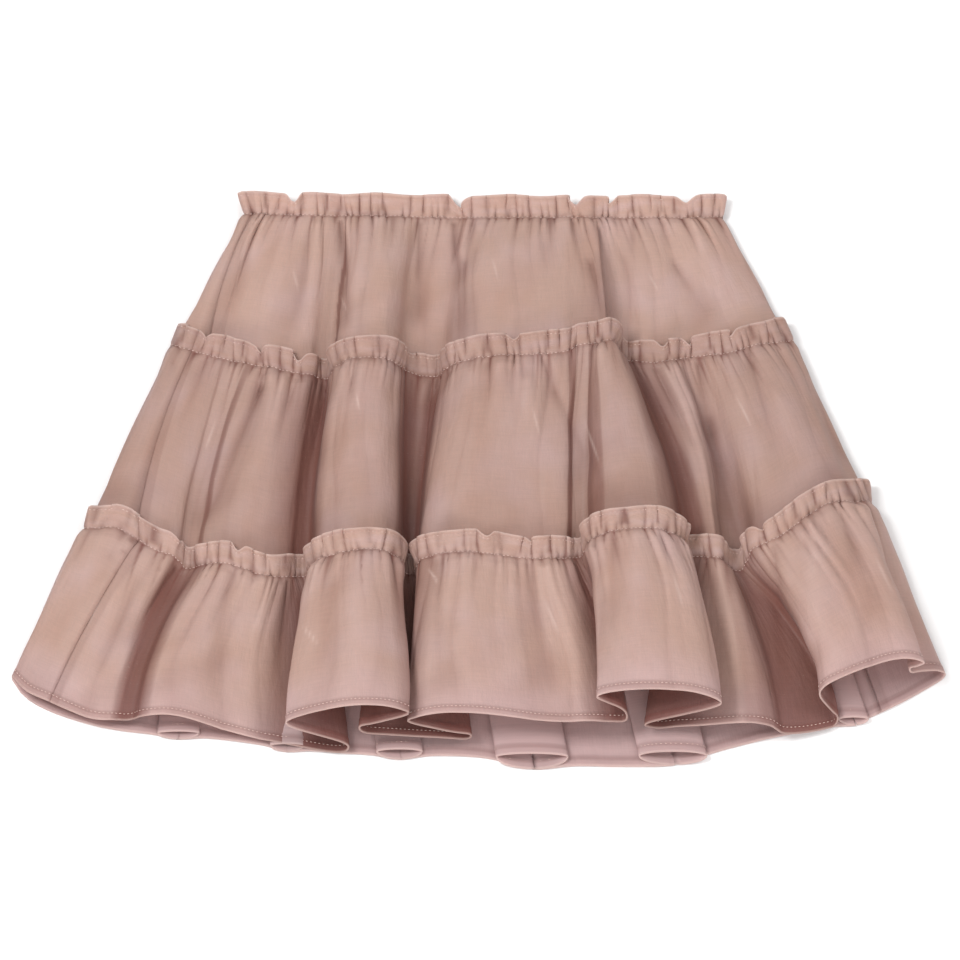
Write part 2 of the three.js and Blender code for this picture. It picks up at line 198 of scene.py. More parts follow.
# Creases of the front, placed in the view from the hem: tier, from (across, up), to (across, up),
# half width, and height of the ridge or depth of the trough
CREASES = [
    (0, -70, 128, -68, 80, 3.2, -2.6),
    (0, -52, 126, -50, 92, 6.0, 1.2),
    (0, -30, 128, -30, 82, 3.0, -2.0),
    (0, -13, 130, -12, 70, 3.6, -2.6),
    (0, -4, 130, -9, 105, 3.0, -1.8),
    (0, -9, 105, -9, 72, 3.6, -1.6),
    (0, -96, 128, -112, 84, 5.0, 1.3),
    (0, -112, 128, -122, 96, 3.2, -1.6),
    (0, -84, 126, -92, 76, 5.0, -1.0),
    (0, 14, 128, 16, 92, 7.0, 1.2),
    (0, 31, 128, 34, 104, 2.8, -1.2),
    (0, 48, 128, 56, 105, 3.6, -1.6),
    (0, 56, 105, 63, 76, 4.0, -2.0),
    (0, 61, 122, 67, 74, 3.0, -2.2),
    (0, 77, 128, 76, 112, 3.0, -1.6),
    (0, 92, 128, 100, 105, 3.6, -1.8),
    (0, 100, 105, 112, 86, 4.5, -1.4),
    (0, 108, 126, 128, 84, 6.0, 1.4),
    (1, -109, 54, -112, 42, 3.6, -2.2),
    (1, -112, 42, -137, -18, 4.6, -2.8),
    (1, -92, 50, -100, 24, 3.8, -2.2),
    (1, -124, 54, -143, 4, 6.0, 1.6),
    (1, -100, 48, -116, -16, 6.0, 1.8),
    (1, -136, 62, -152, 22, 4.0, -1.3),
    (1, -78, 48, -82, 14, 4.5, -1.6),
    (1, -66, 56, -62, 34, 3.0, -1.2),
    (1, -56, 58, -60, 2, 8.0, 1.2),
    (1, -14, 58, -26, 38, 3.0, -1.6),
    (1, 4, 60, 0, 44, 3.0, -1.5),
    (1, 17, 60, 17, 38, 3.0, -1.9),
    (1, 31, 62, 40, 40, 4.0, -2.0),
    (1, 40, 40, 60, -2, 5.5, -1.4),
    (1, -4, 48, -10, -12, 10.0, 1.7),
    (1, 24, 44, 36, -22, 10.0, 1.6),
    (1, 62, 62, 74, 30, 7.0, 1.2),
    (1, 88, 54, 105, 20, 3.6, -2.4),
    (1, 98, 52, 116, -6, 5.0, 1.7),
    (1, 110, 54, 116, 24, 3.6, -2.2),
    (1, 116, 24, 130, -30, 6.5, -3.6),
    (1, 136, 60, 150, 10, 4.6, -1.6),
    (1, 126, 56, 142, 0, 7.0, 1.7),
    (1, 150, 40, 168, 6, 6.0, 1.0),
    (2, -146, -38, -173, -78, 4.2, -3.2),
    (2, -176, -34, -206, -92, 7.0, 1.3),
    (2, -160, -34, -190, -90, 5.0, -1.2),
    (2, -124, -46, -134, -100, 7.0, -1.5),
    (2, -106, -50, -112, -112, 8.0, 1.3),
    (2, -95, -46, -100, -90, 3.6, -2.2),
    (2, -72, -38, -78, -84, 5.0, -1.2),
    (2, -58, -38, -60, -96, 8.0, 1.5),
    (2, -42, -40, -38, -74, 3.6, -1.4),
    (2, -22, -40, -20, -96, 6.0, -1.6),
    (2, -8, -42, -6, -90, 7.0, 1.2),
    (2, 8, -42, 6, -80, 4.0, -1.2),
    (2, 24, -42, 34, -98, 6.0, -1.8),
    (2, 40, -44, 50, -100, 6.0, 1.2),
    (2, 66, -30, 66, -70, 4.0, -1.4),
    (2, 78, -30, 82, -94, 8.0, 1.4),
    (2, 92, -32, 102, -84, 4.0, -1.2),
    (2, 112, -40, 126, -104, 5.0, -1.4),
    (2, 122, -42, 140, -106, 6.0, 1.4),
    (2, 146, -36, 152, -100, 5.0, -1.6),
    (2, 166, -26, 168, -74, 7.0, 1.4),
    (2, 180, -14, 196, -60, 4.6, -1.2),
    (2, 190, -16, 210, -78, 7.0, 1.3),
]

# Short bright streaks where the satin face catches the light, placed in the same view
STREAKS = [
    (0, -94.0, 106.0, -91.0, 95.0, 0.5),
    (0, -70.0, 92.0, -66.0, 84.0, 0.4),
    (0, 6.0, 112.0, 9.0, 100.0, 0.5),
    (0, 84.0, 104.0, 90.0, 94.0, 0.5),
    (1, -62.0, 44.0, -60.0, 34.0, 0.5),
    (1, -132.0, 30.0, -138.0, 14.0, 0.5),
    (1, 26.0, 36.0, 30.0, 22.0, 0.5),
    (1, 52.0, 30.0, 60.0, 8.0, 0.5),
    (1, 128.0, 42.0, 136.0, 26.0, 0.6),
    (2, -89.0, -72.0, -80.0, -82.0, 0.6),
    (2, -26.0, -44.0, -20.0, -52.0, 0.6),
    (2, 32.0, -60.0, 40.0, -78.0, 0.6),
    (2, 96.0, -46.0, 101.0, -64.0, 0.5),
    (2, 196.0, -36.0, 206.0, -58.0, 0.7),
    (2, -186.0, -52.0, -196.0, -74.0, 0.5),
]

# Notches in the headings where one fold laps over the next: tier, across, depth share, half width
NOTCHES = [
    (0, -94, 0.45, 2.6),
    (0, -9.5, 0.6, 3.0),
    (0, 50, 0.5, 3.0),
    (0, 66, 0.4, 2.0),
    (0, 104, 0.35, 3.0),
    (1, -140, 0.35, 2.5),
    (1, -110, 0.4, 2.5),
    (1, -91, 0.5, 2.5),
    (1, 17.5, 0.3, 2.0),
    (1, 92, 0.4, 2.2),
    (1, 104, 0.5, 2.4),
    (1, 128, 0.35, 2.2),
    (2, -153, 0.4, 3.0),
    (2, -121, 0.35, 2.0),
    (2, 2, 0.3, 2.4),
    (2, 24, 0.25, 2.0),
    (2, 142, 0.4, 3.0),
]

# Flattened tubes of the back's hem, which show under the front: middle, width and foot, height,
# reach of the lower layer towards the hem side, set back of the upper one
BACK_FOLDS = [
    (26.0, 37.0, 0.9, 5.5, 4.5, 1.5),
    (96.0, 35.0, 0.9, 5.0, 2.0, 3.0),
    (186.0, 16.0, 0.9, 3.0, 2.0, 1.0),
    (-40.0, 24.0, 0.9, 3.6, 2.5, 1.5),
    (-96.0, 18.0, 0.9, 3.0, 2.0, 1.0),
    (-150.0, 22.0, 0.9, 3.0, 2.0, 1.0),
]

# The same tubes: how far the two sides of a foot lap past its middle and how far out they are
# pulled for it, how far the lower layer reaches beside a tube as a share of its width, the shares
# of the tier's length where the tubes start and are full, and the columns through a foot
FOOT_LAP = 1.5
FOOT_REACH = 5.0
BESIDE = 0.42
BACK_FOLD_TOP = 0.15
BACK_FOLD_DOWN = 0.7
FOOT_COLUMNS = 49

# How the scene's cloth is gathered: spacing and rise of fine, middle and broad ridges, and how
# far below the stitches they run, start or fade
FINE_GATHER = 4.8
MID_GATHER = 9.0
BROAD_GATHER = 21.0
FINE_RISE = 2.3
MID_RISE = 2.6
BROAD_RISE = 1.9
FINE_RUN = (5, 11)
MID_RUN = (14, 30)
MID_START = (0.5, 6)
BROAD_START = (3, 26)
BROAD_FADE = (40, 90)
BROAD_LEFT = 0.4

# Share of the fine rise that lies below the tier's surface, depth and reach of the pinch at the
# stitches, and how far the ridges stand out where the room is least
SUNK = 0.45
PINCH = 0.8
PINCH_REACH = 1.1
TIGHT = 0.35

# Form of the ridges: two wanderings of their spacing (share of it, turns), height of the least
# ridge, and how round the crests are
WANDERINGS = ((0.27, 2.1), (0.3, 0.7))
LEAST_RIDGE = 0.35
RIDGE_POWER = 0.65

# Wandering of the ridges sideways, patches of strong and weak gathers, and slight slanting ripples
SWAY = 1.5
SWAY_DOWN = 14
SWAY_ALONG = 23
PATCH = 11
PATCH_DRIFT = 37
SLANT_RISE = 0.22
SLANT_START = (8, 20)
SLANT_ALONG = 6.1
SLANT_DOWN = 8.3
SLANT_DRIFT = (17, 29)

# Lines of painted shade in the sharp valleys between the ridges: half width as a share of the
# spacing, how much wider they start, how far that reaches, the faintest of them, how far they run
# as a share of their ridges, and the strength of the longer ones and of those on the back
LINE_WIDTH = 0.06
LINE_WIDER = 0.1
LINE_WEDGE = 3
LINE_FAINTEST = 0.15
FINE_LINE_RUN = 0.55
MID_LINE_RUN = 0.5
MID_LINE = 0.9
BACK_LINES = 0.6

# Creases: how far above its first point each one starts, its width at the top and how much it
# widens, how much lower it ends, how sharp a trough is, and how they start below the stitches
CREASE_START = 5.0
CREASE_WIDTH = 0.45
CREASE_WIDENS = 0.85
CREASE_LOWERS = 0.55
TROUGH_POWER = 1.25
CREASES_FROM = (0, 4)

# Waves of the cloth near the bottom of a tier: height, start, length and how that length drifts
HEM_WAVE = 0.5
HEM_WAVE_START = (70, 88)
HEM_WAVE_LENGTH = 7.3
HEM_WAVE_DRIFT = 31

# Height of the back's gathers as a share of the front's
BACK_GATHER = 0.5

# Ruffles of the headings: spacing, rise and sideways lean, how uneven their tops are, depth and
# half width of the groove under the top band, the reach and wedge of the painted shade lines above
# the stitches, and how strongly painted shade darkens the hollows between ruffles
HEADING_FOLD = 8.2
HEADING_RISE = 3.4
HEADING_SWAY = 2.8
HEADING_TURN = 0.5
TOP_UNEVEN = 0.05
TOP_WAVE = 5.3
TOP_DROP = 0.16
GROOVE = 0.25
GROOVE_WIDTH = 0.4
HEADING_LINE_RUN = 0.35
HEADING_WEDGE = 6
HEADING_TROUGH = 1.6

# Numbers that keep the uneven rows of ridges different from each other
FINE_SEED = 11
MID_SEED = 21
BROAD_SEED = 31
FINE_RUN_SEED = 41
MID_RUN_SEED = 43
HEADING_SEED = 51
LEAN_SEED = 61
FINE_LINE_SEED = 71
MID_LINE_SEED = 73
HEADING_LINE_SEED = 75

# How much thicker the cloth is at the turned hem, in the double heading and in its top band
HEM_THICKER = 1.3
HEADING_THICKER = 0.9
BAND_THICKER = 0.8

# Side seams: width of the line, share by which the panels stay apart, and width of the allowance
SEAM_WIDTH = 0.5
SEAM_PART = 0.0002
ALLOWANCE = 5.0

# Lowest point of any cloth or thread above the floor
LOWEST = 0.05

# Room in front of the cloth where its painted shade is darkest and what it takes to be light, relief
# that counts in full as a trough of painted shade or a crest of painted highlight, and how far off
# the back's part of the cloth pattern is
DARK_ROOM = 6
LIGHT_ROOM = 18
FULL_RELIEF = 2.2
BACK_PATTERN = 60.0

# Colours of the cloth, of its painted shade, highlight and light, and of the thread, as screen values
BASE = (216, 184, 170)
WARM = (197, 151, 129)
# LILAC: the cloth's lighter patches, and painted light where light comes through a single layer
LILAC = (226, 200, 199)
# BROWN: painted shade in recesses, troughs, grooves and between gathers, and the darker seams
BROWN = (126, 62, 50)
# PALE: painted highlight on crests, edges, streaks and glints
PALE = (236, 212, 202)
THREAD_DARK = (204, 172, 160)
THREAD_LIGHT = (230, 204, 194)

# How strongly each value painted on the cloth pulls its colour towards another, one after another
PAINTED = [
    # Painted light: lighter lilac near the last tier's hem, where light comes through the single layer
    ("low", 0.6, LILAC),
    # Painted light: the back panel lighter lilac, as if lit through its single layer
    ("back", 0.9, LILAC),
    ("toned", 0.1, BROWN),
    # Painted shade in the tight recesses between folds
    ("deep", 0.75, BROWN),
    # Painted shade in the troughs of the relief
    ("trough", 0.4, BROWN),
    # Painted highlight on the crests of the relief
    ("crest", 0.12, PALE),
    # Painted shade in the valleys between the gathers' ridges
    ("pleat_shade", 0.7, BROWN),
    # Doubled hem band a little darker, and painted shade in the groove at the hem stitches
    ("hem_band_and_groove_shade", 0.42, BROWN),
    # Painted shade in the groove along the top band's stitches and lower edge
    ("band_groove_shade", 0.2, BROWN),
    ("allowance", 0.16, BROWN),
    ("seam_line", 0.3, BROWN),
    # Painted shade in the groove along the gathering stitches
    ("stitch_groove_shade", 0.35, BROWN),
    # Painted highlight along the rolled top edge of the headings and along the hem's edge
    ("edge", 0.7, PALE),
    ("streak", 0.6, PALE),
]

# View from the hem that places the creases
ELEVATION = math.radians(65)
VIEW_UP = (math.sin(ELEVATION), math.cos(ELEVATION))

# Fineness of the meshes: columns of each tier's front, columns of the back, rows down a tier
FRONT_STEP = [0.46, 0.52, 0.66]
BACK_STEP = 2.6
ROWS = np.concatenate([
    np.linspace(-1.0, -0.84, 5),
    np.linspace(-0.74, -0.04, 9),
    np.array([0.0]),
    np.linspace(0.01, 0.16, 14),
    np.linspace(0.19, 0.90, 24),
    np.linspace(0.93, 1.0, 7),
])


def mix(a, b, t):
    return a + (b - a) * t


def smooth(a, b, x):
    t = np.clip((np.asarray(x, float) - a) / (b - a), 0, 1)
    return t * t * (3 - 2 * t)


def fold_knots(row):
    under, left, right, tuck, yu, ya, yb, yt, zu, za, zb, zt = row
    width = right - left
    return [
        (under, yu, zu),
        (left, mix(yu, ya, SIDE), mix(zu, za, SIDE)),
        (left + CREST_IN * width, ya, za),
        (right - CREST_IN * width, yb, zb),
        (right, mix(yt, yb, SIDE), mix(zt, zb, SIDE)),
        (tuck, yt, zt),
    ]


def wrap(s):
    return s - LOOP * np.floor((s + 1) / LOOP)


def catmull(knots, s):
    """Closed centripetal curve through the knots."""
    n = len(knots)
    t = np.mod(s, n)
    i = np.floor(t).astype(int) % n
    w = (t - np.floor(t))[..., None]
    p0, p1, p2, p3 = (knots[(i + k) % n] for k in (-1, 0, 1, 2))

    def pace(a, b):
        return np.sqrt(np.maximum(np.linalg.norm(a - b, axis=-1), 1e-6))[..., None]

    d0, d1, d2 = pace(p0, p1), pace(p1, p2), pace(p2, p3)
    t1 = ((p1 - p0) / d0 - (p2 - p0) / (d0 + d1) + (p2 - p1) / d1) * d1
    t2 = ((p2 - p1) / d1 - (p3 - p1) / (d1 + d2) + (p3 - p2) / d2) * d1
    c2 = -3 * p1 + 3 * p2 - 2 * t1 - t2
    c3 = 2 * p1 - 2 * p2 + t1 + t2
    return p1 + w * (t1 + w * (c2 + w * c3))


def section(folds, level, back_height):
    """Closed section round the skirt at one level, as a function of the place on the loop."""
    knots = [knot for row in folds for knot in fold_knots(row)]
    edge = RIGHT_EDGE[level]
    knots.append(tuple(edge))
    for row in BACK:
        half = edge[0] if row[0] > 0 else -folds[0][0]
        knots.append((row[0] * half, row[level + 1], back_height))
    knots = np.array(knots, float)
    tips = []
    for i in range(1, EDGE_KNOT):
        before, knot, after = knots[i - 1], knots[i], knots[i + 1]
        valley = i % FOLD_KNOTS in (0, FOLD_KNOTS - 1)
        doubled = (knot[0] - before[0]) * (after[0] - knot[0]) < 0
        lone = min(np.linalg.norm(knot - before), np.linalg.norm(knot - after)) > LONE
        if valley and doubled and lone:
            tips.append((i, TIP if before[2] < after[2] else -TIP))

    def curve(s):
        s = np.asarray(s, float)
        point = 2 * catmull(knots, s) + catmull(knots, s - ROUNDING) + catmull(knots, s + ROUNDING)
        point = point / 4
        for at, rise in tips:
            share = (wrap(s) - at) / TIP_SPAN
            point[..., 2] += rise * TIP_SCALE * share * np.exp(-0.5 * share * share)
        point[..., 2] = np.maximum(point[..., 2], back_height)
        return point

    return curve


def tabulated(curve):
    """The same closed curve, read from a fine table of its own points."""
    places = np.arange(0, LOOP + TABLE_STEP / 2, TABLE_STEP)
    points = curve(places)

    def quick_curve(s):
        at = np.mod(np.asarray(s, float), LOOP)
        return np.stack([np.interp(at, places, points[:, i]) for i in range(3)], axis=-1)

    return quick_curve


LEVELS = [
    tabulated(section(WAIST, 0, REST)),
    tabulated(section(SEAM_1, 1, LIFTED)),
    tabulated(section(SEAM_2, 2, LIFTED)),
    tabulated(section(HEM, 3, REST)),
]


def frontness(s):
    """1 on the front, 0 on the back, with the change at the side edges."""
    at = wrap(s)
    return smooth(*LEFT_TURN, at) * (1 - smooth(*RIGHT_TURN, at))


def backness(s):
    """1 on the part of the back that has gathers and tubes of its own."""
    at = wrap(s)
    return smooth(*BACK_START, at) * (1 - smooth(*BACK_END, at))


def inside(s):
    """0 at the side edges, 1 well inside the front."""
    at = wrap(s)
    return smooth(0, FOLD_KNOTS, at) * (1 - smooth(EDGE_KNOT - FOLD_KNOTS, EDGE_KNOT, at))


def unit(v):
    return v / np.maximum(np.linalg.norm(v, axis=-1, keepdims=True), 1e-9)


def normal_of(surface, s, t):
    """Direction away from the body."""
    along = surface(s + NUDGE, t) - surface(s - NUDGE, t)
    down = surface(s, t + DOWN_NUDGE) - surface(s, t - DOWN_NUDGE)
    return unit(np.cross(down, along))


def tier_surface(top, bottom, lifts):
    """Middle surface of a tier between its top and bottom curves."""
    def surface(s, t):
        s, t = np.broadcast_arrays(np.asarray(s, float), np.asarray(t, float))
        a, b = top(s), bottom(s)
        down = np.clip(t, PAST_TOP, PAST_BOTTOM)
        quick = 1 - (1 - np.clip(down, 0, 1)) ** OPENING + np.minimum(down, 0)
        opened = mix(down, quick, inside(s))
        point = a.copy()
        point[..., 0] = mix(a[..., 0], b[..., 0], opened)
        point[..., 1] = mix(a[..., 1], b[..., 1], down)
        point[..., 2] = mix(a[..., 2], b[..., 2], opened)
        flat = REST + APART * smooth(LIFT_FROM, LIFT_TO, down) if lifts else REST
        point[..., 2] = mix(flat, point[..., 2], frontness(s))
        return point

    return surface


def room_ahead(level):
    """Room in front of a level's front, as a function of the place on the loop."""
    at = np.linspace(0, EDGE_KNOT, SAMPLES + 1)
    points = level(at)
    step = np.linalg.norm(np.diff(points, axis=0), axis=1)
    reach = np.concatenate([[0], np.cumsum(step)])
    ahead = np.vstack([points[1:], points[-1:]])
    behind = np.vstack([points[:1], points[:-1]])
    along = ahead - behind
    out = unit(np.stack([-along[:, 2], np.zeros(SAMPLES + 1), along[:, 0]], axis=1))
    away = points[None, :, :] - points[:, None, :]
    gap = np.linalg.norm(away, axis=2)
    apart = np.abs(reach[None, :] - reach[:, None]) > NEIGHBOUR
    facing = apart & (np.einsum("ijk,ik->ij", away, out) > AHEAD * gap)
    room = np.minimum(np.where(facing, gap, MOST_ROOM).min(axis=1), MOST_ROOM)
    return lambda s: np.interp(np.clip(wrap(s), 0, EDGE_KNOT), at, room)


def hashed(i, seed):
    """Repeatable number from 0 to 1 for a whole number."""
    x = np.sin(i * 127.1 + seed * 311.7) * 43758.5453
    return x - np.floor(x)


def puckers(x, seed):
    """Rounded ridges with sharp valleys, one per unit of x, uneven in width and height."""
    (short, short_turns), (long, long_turns) = WANDERINGS
    warped = x + short * np.sin(short_turns * x + seed) + long * np.sin(long_turns * x + 2 * seed)
    cell = np.floor(warped)
    share = warped - cell
    height = LEAST_RIDGE + (1 - LEAST_RIDGE) * hashed(cell, seed)
    return height * np.abs(np.sin(math.pi * share)) ** RIDGE_POWER, cell, share


def pleat_shade_line(cell, share, seed, away):
    """Strength of the painted shade between two ridges, wedge shaped away from the stitches."""
    near = np.minimum(share, 1 - share)
    which = np.where(share > 0.5, cell + 1, cell)
    spread = LINE_WIDTH + LINE_WIDER * np.exp(-away / LINE_WEDGE)
    strength = LINE_FAINTEST + (1 - LINE_FAINTEST) * hashed(which, seed)
    return strength * np.exp(-(near / spread) ** 2)


def around(level):
    """Length along a level from the wrap, round the whole loop."""
    places = np.linspace(-1, LOOP - 1, LENGTH_SAMPLES)
    steps = np.linalg.norm(np.diff(level(places), axis=0), axis=1)
    reach = np.concatenate([[0], np.cumsum(steps)])
    return lambda s: np.interp(wrap(s), places, reach)


def segment_distance(px, py, ax, ay, bx, by):
    """Distance from a segment, and the share of the way along it."""
    dx, dy = bx - ax, by - ay
    share = np.clip(((px - ax) * dx + (py - ay) * dy) / (dx * dx + dy * dy), 0, 1)
    return np.hypot(px - ax - share * dx, py - ay - share * dy), share


def in_view(points):
    """Across and up in the view from the hem."""
    return points[..., 0], VIEW_UP[0] * points[..., 1] + VIEW_UP[1] * points[..., 2]


def crease_relief(points, tier):
    """Height of a tier's creases at the points, outward."""
    across, up = in_view(points)
    relief = np.zeros(across.shape)
    for which, ax, ay, bx, by, width, height in CREASES:
        if which != tier:
            continue
        ahead = CREASE_START / math.hypot(bx - ax, by - ay)
        start = (ax - ahead * (bx - ax), ay - ahead * (by - ay))
        distance, share = segment_distance(across, up, *start, bx, by)
        spread = width * (CREASE_WIDTH + CREASE_WIDENS * share)
        taper = 1 - CREASE_LOWERS * share ** 2
        power = 2.0 if height > 0 else TROUGH_POWER
        relief += height * taper * np.exp(-(distance / spread) ** power)
    return relief


def streaks(points, tier):
    """Brightness of a tier's streaks at the points."""
    across, up = in_view(points)
    bright = np.zeros(across.shape)
    for which, ax, ay, bx, by, width in STREAKS:
        if which == tier:
            distance, share = segment_distance(across, up, ax, ay, bx, by)
            bright += np.sin(math.pi * share) * np.exp(-(distance / width) ** 2)
    return bright


class Tier:
    """Middle surface of one tier, w from -1 at its heading's top through 0 to 1 at its bottom."""

    def __init__(self, k, upper):
        self.k = k
        self.upper = upper
        self.seam = LEVELS[k]
        self.room = room_ahead(self.seam)
        self.reach = around(self.seam)
        self.strip = around(LEVELS[k + 1])
        if upper is None:
            top = self.seam
            self.base = self.waist_heading
        else:
            top = tabulated(lambda s: self.seam(s) + APART * normal_of(upper, s, 1.0))
            self.base = upper
        self.body = tier_surface(top, LEVELS[k + 1], k < len(TIERS) - 1)

    def waist_heading(self, s, t):
        """The first tier's own cloth above its stitches."""
        point = self.seam(s)
        point[..., 1] += HEADING * (1 - t)
        return point

    def spare(self, s):
        """How freely the cloth can stand out, least in the tightest valleys."""
        free = np.clip(self.room(s) / 2 - APART - WALL, 0, HEADING_WAVE)
        return mix(TIGHT, 1.0, free / HEADING_WAVE)

    def gathers(self, s, w):
        """Height of the gathers under the stitches, outward, and the painted shade lines between them.
        """
        k = self.k
        down = np.maximum(w, 0) * TIER_LENGTH[k]
        reach = self.reach(s) + SWAY * np.sin(down / SWAY_DOWN + self.reach(s) / SWAY_ALONG)
        fine, fine_cell, fine_share = puckers(reach / FINE_GATHER, FINE_SEED + k)
        mid, mid_cell, mid_share = puckers(reach / MID_GATHER, MID_SEED + k)
        broad = puckers(reach / BROAD_GATHER, BROAD_SEED + k)[0]
        fine_run = FINE_RUN[0] + FINE_RUN[1] * hashed(fine_cell, FINE_RUN_SEED)
        mid_run = MID_RUN[0] + MID_RUN[1] * hashed(mid_cell, MID_RUN_SEED)
        patchy = 0.85 + 0.35 * np.sin(reach / PATCH + 2.2 * np.sin(reach / PATCH_DRIFT + k))
        relief = FINE_RISE * patchy * fine * np.exp(-(down / fine_run) ** 1.3)
        relief += MID_RISE * patchy * mid * smooth(*MID_START, down) * np.exp(-(down / mid_run) ** 2)
        fade = mix(1, BROAD_LEFT, smooth(*BROAD_FADE, down))
        relief += BROAD_RISE * broad * smooth(*BROAD_START, down) * fade
        drift = np.sin(down / SLANT_DRIFT[0] + reach / SLANT_DRIFT[1])
        slant = np.sin(reach / SLANT_ALONG + down / SLANT_DOWN + 2 * drift)
        relief += SLANT_RISE * slant * smooth(*SLANT_START, down)
        relief -= SUNK * FINE_RISE + PINCH * np.exp(-(down / PINCH_REACH) ** 2)
        short = pleat_shade_line(fine_cell, fine_share, FINE_LINE_SEED, down)
        short = short * np.exp(-(down / (FINE_LINE_RUN * fine_run)) ** 2)
        long = pleat_shade_line(mid_cell, mid_share, MID_LINE_SEED, down)
        long = long * np.exp(-(down / (MID_LINE_RUN * mid_run)) ** 2)
        return relief, np.clip(short + MID_LINE * long, 0, 1)

    def under(self, s, w):
        """Cloth under the stitches, its depth for painted shade and highlight, and its shade lines."""
        low = np.maximum(w, 0)
        down = low * TIER_LENGTH[self.k]
        body = self.body(s, low)
        out = normal_of(self.body, s, low)
        front = frontness(s)
        gathered, lines = self.gathers(s, w)
        relief = gathered * self.spare(s)
        relief += crease_relief(body, self.k) * smooth(*CREASES_FROM, down)
        reach = self.reach(s)
        wave = np.sin(reach / HEM_WAVE_LENGTH + 3 * np.sin(reach / HEM_WAVE_DRIFT + self.k))
        relief += HEM_WAVE * wave * smooth(*HEM_WAVE_START, down)
        body = body + out * (relief * front)[..., None]
        lift = np.maximum(gathered + SUNK * FINE_RISE, 0) * BACK_GATHER
        body[..., 2] += lift * (1 - front) * backness(s)
        if self.k == len(TIERS) - 1:
            body = self.hem_folds(body, s, low)
        return body, -relief * front, lines * mix(BACK_LINES, 1, front)

    def hem_place(self, s, w):
        """Place at the hem of the back's column that passes through a point."""
        top = TIERS[self.k]["seam"][0]
        length = top + LOOP - BACK_SEAM
        shift = self.seam_at(w) - top
        share = (wrap(s) - BACK_SEAM) / (length + shift)
        return BACK_SEAM + share * (length + self.seam_at(1.0) - top)

    def hem_folds(self, body, s, w):
        """Flattened tubes along the back's hem, wider than their feet."""
        across = LEVELS[-1](self.hem_place(s, w))[..., 0]
        lying = backness(s) > 0
        grown = smooth(BACK_FOLD_TOP, BACK_FOLD_DOWN, w)
        for centre, width, foot, height, forward, back in BACK_FOLDS:
            turn = (across - centre) / foot + 0.5
            within = lying & (turn > 0) & (turn < 1)
            crest = 0.5 - 0.5 * np.cos(2 * math.pi * turn)
            sideways = -width / 2 * np.sin(2 * math.pi * turn)
            lower = np.maximum(np.cos(2 * math.pi * turn), 0)
            beside = np.exp(-((across - centre) / (BESIDE * width)) ** 2)
            shut = -np.sign(across - centre) * np.exp(-((across - centre) / FOOT_REACH) ** 2)
            shut = FOOT_LAP * np.where(within, np.cos(math.pi * turn), shut)
            body[..., 0] += np.where(lying, grown * shut, 0)
            body[..., 0] += np.where(within, grown * sideways, 0)
            layer = np.where(within, back * crest - forward * lower, -forward * beside)
            body[..., 1] += np.where(lying, grown * layer, 0)
            body[..., 2] += np.where(within, grown * height * crest, 0)
        return body

    def heading(self, s, w):
        """Ruffled double cloth above the stitches, depth for painted shade and highlight, and shade
        lines.
        """
        high = np.maximum(-w, 0)
        reach = self.reach(s)
        across = self.seam(s)[..., 0]
        front = frontness(s)
        spare = self.spare(s)
        cut = np.zeros(np.shape(reach))
        for which, at, depth, width in NOTCHES:
            if which == self.k:
                cut = np.maximum(cut, depth * np.exp(-((across - at) / width) ** 2))
        fine, fine_cell, fine_turn = puckers(reach / FINE_GATHER, FINE_SEED + self.k)
        fold, cell, turn = puckers(reach / HEADING_FOLD, HEADING_SEED + self.k)
        uneven = TOP_UNEVEN * np.sin(reach / TOP_WAVE + self.k) - TOP_DROP * (fold - 0.55)
        tall = (1 - cut * front) * (1 + uneven * front)
        if self.upper is None:
            share, stand = 1.0, 0.0
        else:
            share = HEADING / np.abs(self.upper(s, 0.0)[..., 1] - self.upper(s, 1.0)[..., 1])
            stand = APART
        head = self.base(s, 1 - high * share * tall)
        facing = normal_of(self.base, s, 1 - high * share * tall)
        flare = HEADING_LEAN * high + HEADING_RISE * fold * smooth(0, 0.9, high)
        flare += FINE_RISE * fine * (1 - high) - SUNK * FINE_RISE
        flare -= PINCH * np.exp(-(high * HEADING / PINCH_REACH) ** 2)
        flare -= GROOVE * np.exp(-((high * HEADING - HEADING + TOP_BAND) / GROOVE_WIDTH) ** 2)
        head = head + facing * (stand + flare * spare * front)[..., None]
        tangent = unit(self.base(s + NUDGE, 1.0) - self.base(s - NUDGE, 1.0))
        lean = 2 * HEADING_SWAY * (hashed(cell, LEAN_SEED) - 0.5) * fold
        lean = lean - HEADING_TURN * np.sin(2 * math.pi * turn)
        head = head + tangent * (lean * high * spare * front)[..., None]
        away = HEADING_WEDGE * high
        lines = pleat_shade_line(cell, turn, HEADING_LINE_SEED, away)
        lines = lines * smooth(0, 0.3, high) * smooth(1.05, 0.8, high)
        short = pleat_shade_line(fine_cell, fine_turn, FINE_LINE_SEED, away)
        lines = lines + short * np.exp(-(high / HEADING_LINE_RUN) ** 2)
        trough = (0.6 - fold) * HEADING_TROUGH * high * front
        return head, trough, np.clip(lines, 0, 1)

    def point(self, s, w, with_shade=False):
        """Point of the finished surface, and if wanted its depth for painted shade and its shade lines.
        """
        s, w = np.broadcast_arrays(np.asarray(s, float), np.asarray(w, float))
        below, below_trough, below_lines = self.under(s, w)
        above, above_trough, above_lines = self.heading(s, w)
        point = np.where((w > 0)[..., None], below, above)
        point[..., 2] = np.maximum(point[..., 2], CLOTH)
        if not with_shade:
            return point
        trough = np.where(w > 0, below_trough, above_trough)
        return point, trough, np.where(w > 0, below_lines, above_lines)

    def seam_at(self, w):
        """Place of the left side seam on the loop."""
        return mix(*TIERS[self.k]["seam"], np.clip(w, 0, 1))


